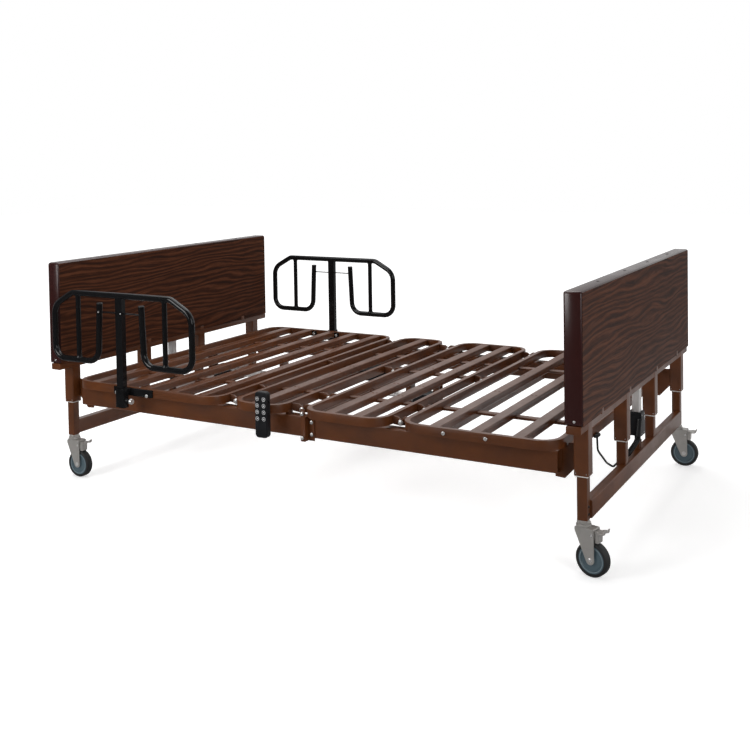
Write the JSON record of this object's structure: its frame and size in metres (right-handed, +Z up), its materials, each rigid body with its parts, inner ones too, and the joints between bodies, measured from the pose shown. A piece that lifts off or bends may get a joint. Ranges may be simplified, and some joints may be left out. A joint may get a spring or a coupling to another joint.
{
  "type": "bariatric bed",
  "caption": "Wide low hospital bed with panelled ends on telescoping legs, slatted deck in hinged sections, lifts, braked casters, assist rails and a hand control.",
  "frame": {"origin": "on the floor, under the middle of the bed's whole length and width, casters included", "axes": "+X towards the foot end, +Y towards the far side (the patient's left), +Z up; the hand control is on the -Y side"},
  "size_m": [2.2004, 1.428, 0.859],
  "materials": {
    "frame_brown": "satin",
    "walnut": "satin",
    "edge_band": "satin",
    "aluminium": "satin",
    "zinc": "satin",
    "wheel": "matte",
    "black_gloss": "gloss",
    "black_plastic": "satin",
    "keys": "matte"
  },
  "bodies": {
    "bed": {"head_panel_edge": "edge_band", "head_panel_board": "walnut", "head_upper_frame": "frame_brown", "head_lift_rod": "zinc", "foot_panel_edge": "edge_band", "foot_panel_board": "walnut", "foot_upper_frame": "frame_brown", "foot_lift_rod": "zinc", "base_frame_head": "frame_brown", "base_frame_foot": "frame_brown", "near_splice_bracket": "frame_brown", "far_splice_bracket": "frame_brown", "seat_section": "frame_brown", "control_box": "black_plastic"},
    "head_legs": {"head_lower_frame": "frame_brown", "head_lift_tube": "aluminium", "head_lift_motor": "black_plastic"},
    "foot_legs": {"foot_lower_frame": "frame_brown", "foot_lift_tube": "aluminium", "foot_lift_motor": "black_plastic", "foot_lift_cable": "black_plastic"},
    "near_head_fork": {"near_head_caster_fork": "zinc"},
    "near_head_wheel": {"near_head_caster_wheel": "wheel"},
    "near_head_pedal": {"near_head_brake_pedal": "zinc"},
    "far_head_fork": {"far_head_caster_fork": "zinc"},
    "far_head_wheel": {"far_head_caster_wheel": "wheel"},
    "far_head_pedal": {"far_head_brake_pedal": "zinc"},
    "near_foot_fork": {"near_foot_caster_fork": "zinc"},
    "near_foot_wheel": {"near_foot_caster_wheel": "wheel"},
    "near_foot_pedal": {"near_foot_brake_pedal": "zinc"},
    "far_foot_fork": {"far_foot_caster_fork": "zinc"},
    "far_foot_wheel": {"far_foot_caster_wheel": "wheel"},
    "far_foot_pedal": {"far_foot_brake_pedal": "zinc"},
    "back": {"back_section": "frame_brown", "back_actuator_motor": "black_plastic", "back_actuator_tube": "aluminium", "near_rail_clamp": "black_gloss", "far_rail_clamp": "black_gloss"},
    "back_rod": {"back_actuator_rod": "zinc"},
    "thigh": {"thigh_section": "frame_brown", "knee_actuator_motor": "black_plastic", "knee_actuator_tube": "aluminium"},
    "knee_rod": {"knee_actuator_rod": "zinc"},
    "foot_deck": {"foot_section": "frame_brown"},
    "near_rail": {"near_assist_rail": "black_gloss"},
    "near_pin": {"near_rail_pin": "zinc"},
    "far_rail": {"far_assist_rail": "black_gloss"},
    "far_pin": {"far_rail_pin": "zinc"},
    "hand_control": {"hand_control_body": "black_plastic"},
    "button_1": {"hand_control_button_1": "keys"},
    "button_2": {"hand_control_button_2": "keys"},
    "button_3": {"hand_control_button_3": "keys"},
    "button_4": {"hand_control_button_4": "keys"},
    "button_5": {"hand_control_button_5": "keys"},
    "button_6": {"hand_control_button_6": "keys"},
    "button_7": {"hand_control_button_7": "keys"},
    "button_8": {"hand_control_button_8": "keys"}
  },
  "joints": [
    {"name": "head_lift", "type": "slide", "parent": "bed", "child": "head_legs", "axis": [0, 0, 1], "range_m": [-0.24, 0.075]},
    {"name": "foot_lift", "type": "slide", "parent": "bed", "child": "foot_legs", "axis": [0, 0, 1], "range_m": [-0.24, 0.075], "deforming": ["foot_lift_cable"]},
    {"name": "near_head_swivel", "type": "hinge", "parent": "head_legs", "child": "near_head_fork", "pos_m": [-1.07167, -0.597, 0.165], "axis": [0, 0, 1], "continuous": true},
    {"name": "near_head_wheel_spin", "type": "hinge", "parent": "near_head_fork", "child": "near_head_wheel", "pos_m": [-1.04167, -0.597, 0.0525], "axis": [0, 1, 0], "continuous": true},
    {"name": "near_head_brake", "type": "hinge", "parent": "near_head_fork", "child": "near_head_pedal", "pos_m": [-1.03567, -0.597, 0.128], "axis": [0, 1, 0], "range_deg": [0, 10]},
    {"name": "far_head_swivel", "type": "hinge", "parent": "head_legs", "child": "far_head_fork", "pos_m": [-1.07167, 0.597, 0.165], "axis": [0, 0, 1], "continuous": true},
    {"name": "far_head_wheel_spin", "type": "hinge", "parent": "far_head_fork", "child": "far_head_wheel", "pos_m": [-1.04167, 0.597, 0.0525], "axis": [0, 1, 0], "continuous": true},
    {"name": "far_head_brake", "type": "hinge", "parent": "far_head_fork", "child": "far_head_pedal", "pos_m": [-1.03567, 0.597, 0.128], "axis": [0, 1, 0], "range_deg": [0, 10]},
    {"name": "near_foot_swivel", "type": "hinge", "parent": "foot_legs", "child": "near_foot_fork", "pos_m": [1.01733, -0.597, 0.165], "axis": [0, 0, 1], "continuous": true},
    {"name": "near_foot_wheel_spin", "type": "hinge", "parent": "near_foot_fork", "child": "near_foot_wheel", "pos_m": [1.04668, -0.60324, 0.0525], "axis": [0.2079, 0.9781, 0], "continuous": true},
    {"name": "near_foot_brake", "type": "hinge", "parent": "near_foot_fork", "child": "near_foot_pedal", "pos_m": [1.05255, -0.60449, 0.128], "axis": [0.2079, 0.9781, 0], "range_deg": [0, 10]},
    {"name": "far_foot_swivel", "type": "hinge", "parent": "foot_legs", "child": "far_foot_fork", "pos_m": [1.01733, 0.597, 0.165], "axis": [0, 0, 1], "continuous": true},
    {"name": "far_foot_wheel_spin", "type": "hinge", "parent": "far_foot_fork", "child": "far_foot_wheel", "pos_m": [1.04729, 0.59857, 0.0525], "axis": [-0.0523, 0.9986, 0], "continuous": true},
    {"name": "far_foot_brake", "type": "hinge", "parent": "far_foot_fork", "child": "far_foot_pedal", "pos_m": [1.05329, 0.59888, 0.128], "axis": [-0.0523, 0.9986, 0], "range_deg": [0, 10]},
    {"name": "back_tilt", "type": "hinge", "parent": "bed", "child": "back", "pos_m": [-0.26867, 0, 0.382], "axis": [0, 1, 0], "range_deg": [0, 65]},
    {"name": "thigh_tilt", "type": "hinge", "parent": "bed", "child": "thigh", "pos_m": [0.01483, 0, 0.382], "axis": [0, -1, 0], "range_deg": [0, 32]},
    {"name": "foot_tilt", "type": "hinge", "parent": "thigh", "child": "foot_deck", "pos_m": [0.40133, 0, 0.382], "axis": [0, -1, 0], "range_deg": [-53.5, 0]},
    {"name": "back_rod_slide", "type": "slide", "parent": "back", "child": "back_rod", "axis": [1, 0, 0], "range_m": [0, 0.0811]},
    {"name": "knee_rod_slide", "type": "slide", "parent": "thigh", "child": "knee_rod", "axis": [-1, 0, 0], "range_m": [0, 0.0336]},
    {"name": "near_rail_lift", "type": "slide", "parent": "back", "child": "near_rail", "axis": [0, 0, 1], "range_m": [0, 0.06]},
    {"name": "near_pin_pull", "type": "slide", "parent": "back", "child": "near_pin", "axis": [1, 0, 0], "range_m": [-0.0075, 0]},
    {"name": "far_rail_lift", "type": "slide", "parent": "back", "child": "far_rail", "axis": [0, 0, 1], "range_m": [0, 0.06]},
    {"name": "far_pin_pull", "type": "slide", "parent": "back", "child": "far_pin", "axis": [-1, 0, 0], "range_m": [-0.0075, 0]},
    {"name": "hand_control_lift", "type": "slide", "parent": "bed", "child": "hand_control", "axis": [0, 0, 1], "range_m": [0, 0.04]},
    {"name": "button_1_press", "type": "slide", "parent": "hand_control", "child": "button_1", "axis": [0, 1, 0], "range_m": [0, 0.0012], "stiffness_N_per_m": 1200, "springref_m": -0.0004},
    {"name": "button_2_press", "type": "slide", "parent": "hand_control", "child": "button_2", "axis": [0, 1, 0], "range_m": [0, 0.0012], "stiffness_N_per_m": 1200, "springref_m": -0.0004},
    {"name": "button_3_press", "type": "slide", "parent": "hand_control", "child": "button_3", "axis": [0, 1, 0], "range_m": [0, 0.0012], "stiffness_N_per_m": 1200, "springref_m": -0.0004},
    {"name": "button_4_press", "type": "slide", "parent": "hand_control", "child": "button_4", "axis": [0, 1, 0], "range_m": [0, 0.0012], "stiffness_N_per_m": 1200, "springref_m": -0.0004},
    {"name": "button_5_press", "type": "slide", "parent": "hand_control", "child": "button_5", "axis": [0, 1, 0], "range_m": [0, 0.0012], "stiffness_N_per_m": 1200, "springref_m": -0.0004},
    {"name": "button_6_press", "type": "slide", "parent": "hand_control", "child": "button_6", "axis": [0, 1, 0], "range_m": [0, 0.0012], "stiffness_N_per_m": 1200, "springref_m": -0.0004},
    {"name": "button_7_press", "type": "slide", "parent": "hand_control", "child": "button_7", "axis": [0, 1, 0], "range_m": [0, 0.0012], "stiffness_N_per_m": 1200, "springref_m": -0.0004},
    {"name": "button_8_press", "type": "slide", "parent": "hand_control", "child": "button_8", "axis": [0, 1, 0], "range_m": [0, 0.0012], "stiffness_N_per_m": 1200, "springref_m": -0.0004}
  ],
  "couplings": [
    {"joint": "foot_tilt", "follows": "thigh_tilt", "ratio": -1.67},
    {"joint": "back_rod_slide", "follows": "back_tilt", "m_per_rad": 0.07104},
    {"joint": "knee_rod_slide", "follows": "thigh_tilt", "m_per_rad": 0.05922}
  ]
}
